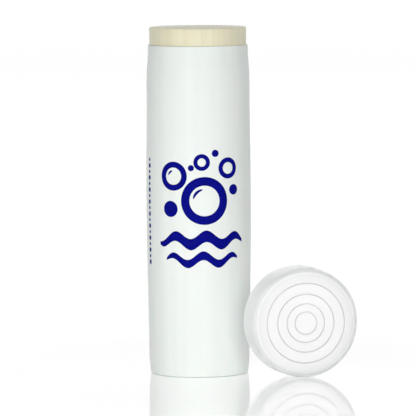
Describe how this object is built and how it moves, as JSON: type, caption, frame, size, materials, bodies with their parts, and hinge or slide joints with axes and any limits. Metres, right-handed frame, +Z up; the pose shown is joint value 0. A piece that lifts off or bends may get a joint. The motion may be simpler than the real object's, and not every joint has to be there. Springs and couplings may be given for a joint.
{
  "type": "stain remover stick",
  "caption": "Twist-up stain remover stick: white swelled tube, cream solid stick raised by a lead screw from a dial in the foot, shallow milky cap beside it.",
  "frame": {"origin": "on the table, at the middle of the box round the barrel and the cap", "axes": "+Z up along the barrel's axis, +Y away from the picture's camera, +X from the barrel towards the cap"},
  "size_m": [0.0758, 0.0446, 0.1254],
  "materials": {
    "barrel_white": "smooth white moulded polyolefin with a soft sheen",
    "dial_white": "satin white moulded polyolefin",
    "inner_natural": "natural moulded polyolefin, unpolished",
    "stick_cream": "cream waxy solid with faint drag lines from the bore",
    "cap_milky": "milky translucent moulded polyolefin with a soft sheen"
  },
  "bodies": {
    "barrel_body": {"barrel": "barrel_white", "bearing_plate": "inner_natural"},
    "dial_body": {"base_dial": "dial_white", "lead_screw": "inner_natural"},
    "stick_body": {"elevator": "inner_natural", "stick": "stick_cream"},
    "cap_body": {"cap": "cap_milky"}
  },
  "joints": [
    {"name": "dial_turn", "type": "hinge", "parent": "barrel_body", "child": "dial_body", "pos_m": [-0.0189, 0.00338, 0.005], "axis": [0, 0, 1], "range_deg": [-540, 4860]},
    {"name": "stick_lift", "type": "slide", "parent": "barrel_body", "child": "stick_body", "axis": [0, 0, 1], "range_m": [-0.0075, 0.0675]},
    {"name": "cap_slide", "type": "slide", "parent": "barrel_body", "child": "cap_body", "axis": [1, 0, 0], "range_m": [0, 0.06]}
  ],
  "couplings": [
    {"joint": "dial_turn", "follows": "stick_lift", "rad_per_m": 1256.6}
  ]
}
